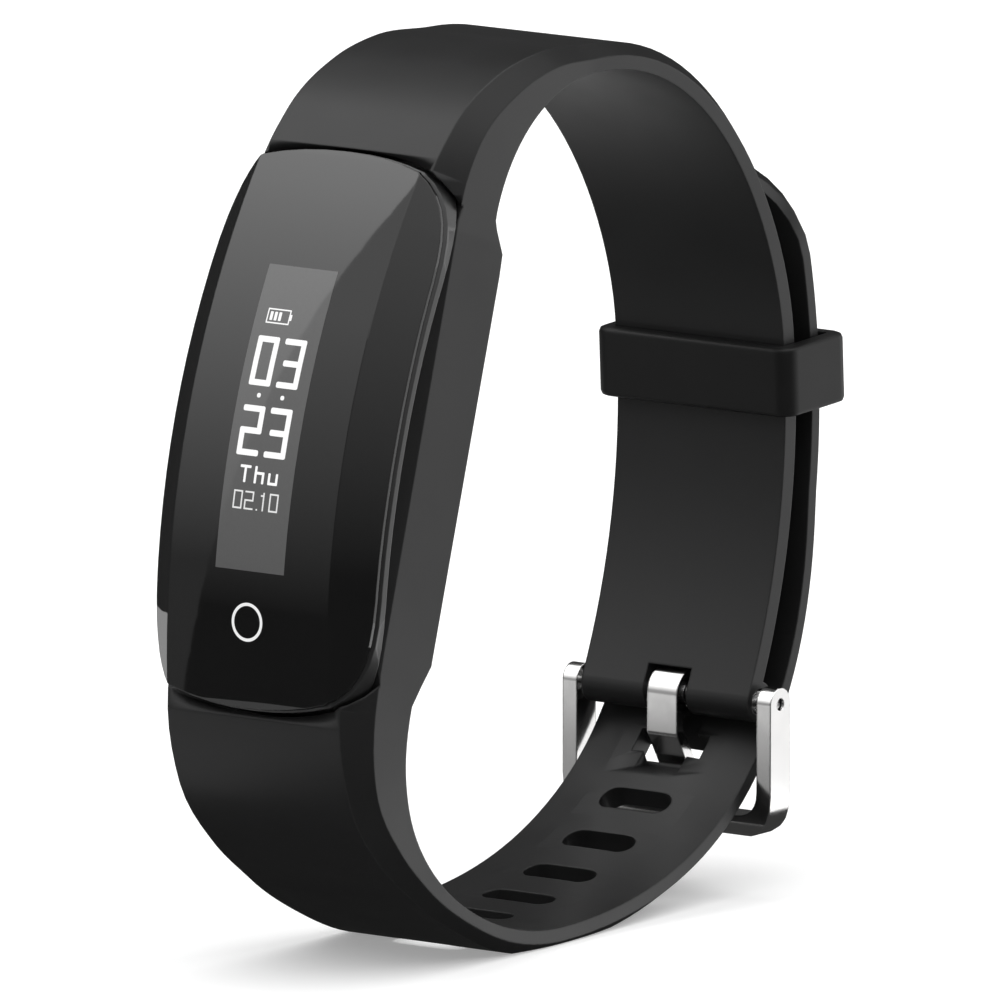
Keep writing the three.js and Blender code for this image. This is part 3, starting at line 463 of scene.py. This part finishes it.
studio = {
    "azimuth": -54, "elevation": 10, "aim": Vector((-0.281, 0, 28.344)) * mm,
    "distance": 2.0, "width": 65.36 * mm, "sensor": 36, "seesTo": 20, "dim": 0.05, "white": 1.0,
    "sunPower": 3.5, "sunWidth": 100, "sunLean": (8, -6, 0),
    "boxMiddle": 30 * mm, "bounceUp": -0.5 * mm, "floorSize": 6, "floorSpeck": 3 * mm, "floorGlow": 0.3,
}
back = Vector((
    math.sin(math.radians(studio["azimuth"])) * math.cos(math.radians(studio["elevation"])),
    -math.cos(math.radians(studio["azimuth"])) * math.cos(math.radians(studio["elevation"])),
    math.sin(math.radians(studio["elevation"])),
))
bpy.ops.object.camera_add(location=studio["aim"] + back * studio["distance"],
                          rotation=back.to_track_quat("Z", "Y").to_euler())
camera = bpy.context.object
camera.data.sensor_width = studio["sensor"]
camera.data.lens = studio["sensor"] * studio["distance"] / studio["width"]
camera.data.clip_end = studio["seesTo"]
bpy.context.scene.camera = camera
bpy.context.scene.view_settings.view_transform = "Standard"


# an even glow that runs from one strength to another along the card's own X; low and high are (place, share)
def cardFinish(name, level, low, high):
    finish = Finish(name)
    where = finish.node("ShaderNodeTexCoord").outputs["Object"]
    apart = finish.node("ShaderNodeSeparateXYZ", None, {0: where})
    share = finish.node("ShaderNodeMapRange", {"interpolation_type": "LINEAR"},
                        {"Value": apart.outputs["X"], 1: low[0], 2: high[0], 3: low[1], 4: high[1]})
    glow = finish.node("ShaderNodeEmission", None, {0: grey(1), 1: finish.value(share) * level})
    finish.tree.links.new(glow.outputs[0], finish.output.inputs[0])
    return finish.material


# a lit card that only shows in reflections
def addCard(name, centre, facing, sideways, width, height, finish):
    bpy.ops.object.select_all(action="DESELECT")
    bpy.ops.mesh.primitive_plane_add(size=1)
    card = bpy.context.object
    card.name = name
    normal = facing.normalized()
    across = (sideways - normal * sideways.dot(normal)).normalized()
    upward = normal.cross(across)
    turn = Matrix((across, upward, normal)).transposed().to_4x4()
    card.matrix_world = Matrix.Translation(centre) @ turn @ Matrix.Diagonal((width, height, 1, 1))
    card.visible_camera = False
    card.visible_shadow = False
    paint(card, finish)


floorFinish = Finish("floorWhite")
speck = floorFinish.noise(studio["floorSpeck"], 2)
floorFinish.surface(**{
    "Base Color": floorFinish.blend(speck, grey(0.78), grey(0.8)), "Roughness": 0.6 + speck * 0.1,
    "Specular IOR Level": 0.0, "Emission Color": grey(studio["floorGlow"]), "Emission Strength": 1.0,
})
bpy.ops.object.select_all(action="DESELECT")
bpy.ops.mesh.primitive_plane_add(size=studio["floorSize"])
floor = bpy.context.object
floor.name = "studio_floor"
paint(floor, floorFinish.material)
floor.visible_glossy = False

# white behind the band for the camera, dim all round for what the band reflects
world = bpy.data.worlds.new("studioWorld")
bpy.context.scene.world = world
world.use_nodes = True
tree = world.node_tree
tree.nodes.clear()
worldOut = tree.nodes.new("ShaderNodeOutputWorld")
worldMix = tree.nodes.new("ShaderNodeMixShader")
worldPath = tree.nodes.new("ShaderNodeLightPath")
tree.links.new(worldPath.outputs["Is Camera Ray"], worldMix.inputs[0])
for place, level in ((1, studio["dim"]), (2, studio["white"])):
    sky = tree.nodes.new("ShaderNodeBackground")
    sky.inputs[0].default_value = grey(level)
    tree.links.new(sky.outputs[0], worldMix.inputs[place])
tree.links.new(worldMix.outputs[0], worldOut.inputs[0])

bpy.ops.object.light_add(type="SUN", rotation=[math.radians(angle) for angle in studio["sunLean"]])
sun = bpy.context.object
sun.name = "top_light"
sun.data.energy = studio["sunPower"]
sun.data.angle = math.radians(studio["sunWidth"])

# the near card that lights the upper left of the cover, with its lower right edge cut on a slight curve
glare = {
    "level": 3.7, "distance": 120 * mm, "top": -180 * mm, "length": 320 * mm, "reach": 60 * mm,
    "bright": (-80 * mm, 1.0), "faint": (55 * mm, 0.1), "edge": 4.2 * mm, "slope": -0.08,
    "bow": 10.1 * mm, "bowLength": 74 * mm,
    "middle": Vector((-24.19, 0.67, 39.02)) * mm, "way": Vector((-0.7098, 0.6062, 0.3587)),
    "down": Vector((-0.451, 0, -0.893)), "across": Vector((-0.541, -0.795, 0.273)),
}
bpy.ops.object.select_all(action="DESELECT")
bpy.ops.mesh.primitive_grid_add(x_subdivisions=24, y_subdivisions=2, size=1)
glareCard = bpy.context.object
glareCard.name = "glare_card"
for vertex in glareCard.data.vertices:
    down = glare["top"] + (vertex.co.x + 0.5) * glare["length"]
    edge = glare["edge"] + glare["slope"] * down - glare["bow"] * (down / glare["bowLength"]) ** 2
    vertex.co = (down, edge - (0.5 - vertex.co.y) * glare["reach"], 0)
glareTurn = Matrix((glare["down"], glare["across"], glare["down"].cross(glare["across"]))).transposed()
glareCentre = glare["middle"] + glare["way"] * glare["distance"]
glareCard.matrix_world = Matrix.Translation(glareCentre) @ glareTurn.to_4x4()
glareCard.visible_camera = False
glareCard.visible_shadow = False
glareCard.visible_diffuse = False
paint(glareCard, cardFinish("glareCard", glare["level"], glare["bright"], glare["faint"]))

# soft boxes stand at a distance, each facing the band, with the glow running from low to high up each of them
softBoxes = [
    {"name": "back_box", "way": (-0.72, 0.58, 0.42), "distance": 0.8, "height": 0.85, "width": 0.7,
     "level": 1.35, "low": (-0.5, 0.05), "high": (0.1, 1.0)},
    {"name": "side_box", "way": (0.797, -0.579, 0.05), "distance": 0.9, "height": 0.9, "width": 1.1,
     "level": 2.4, "low": (-0.5, 1.0), "high": (0.5, 0.3)},
    {"name": "front_box", "way": (-0.64, -0.64, 0.43), "distance": 1.0, "height": 0.95, "width": 0.42,
     "level": 1.5, "low": (-0.48, 0.04), "high": (0.5, 1.0)},
]
for box in softBoxes:
    way = Vector(box["way"]).normalized()
    addCard(box["name"], way * box["distance"] + Vector((0, 0, studio["boxMiddle"])), -way, Vector((0, 0, 1)),
            box["height"], box["width"], cardFinish(box["name"], box["level"], box["low"], box["high"]))

# even cards just under the floor stand for the light that it throws back
bounces = [
    {"name": "floor_bounce", "centre": (0.2, -0.15), "size": 0.3, "level": 1.3},
    {"name": "bounce_back", "centre": (0.07, 0.09), "size": 0.12, "level": 0.9},
    {"name": "bounce_left", "centre": (-0.06, 0.04), "size": 0.056, "level": 0.9},
]
for bounce in bounces:
    even = cardFinish(bounce["name"], bounce["level"], (-0.5, 1.0), (0.5, 1.0))
    centre = Vector((*bounce["centre"], studio["bounceUp"]))
    addCard(bounce["name"], centre, Vector((0, 0, 1)), Vector((1, 0, 0)), bounce["size"], bounce["size"], even)
print("studio made")
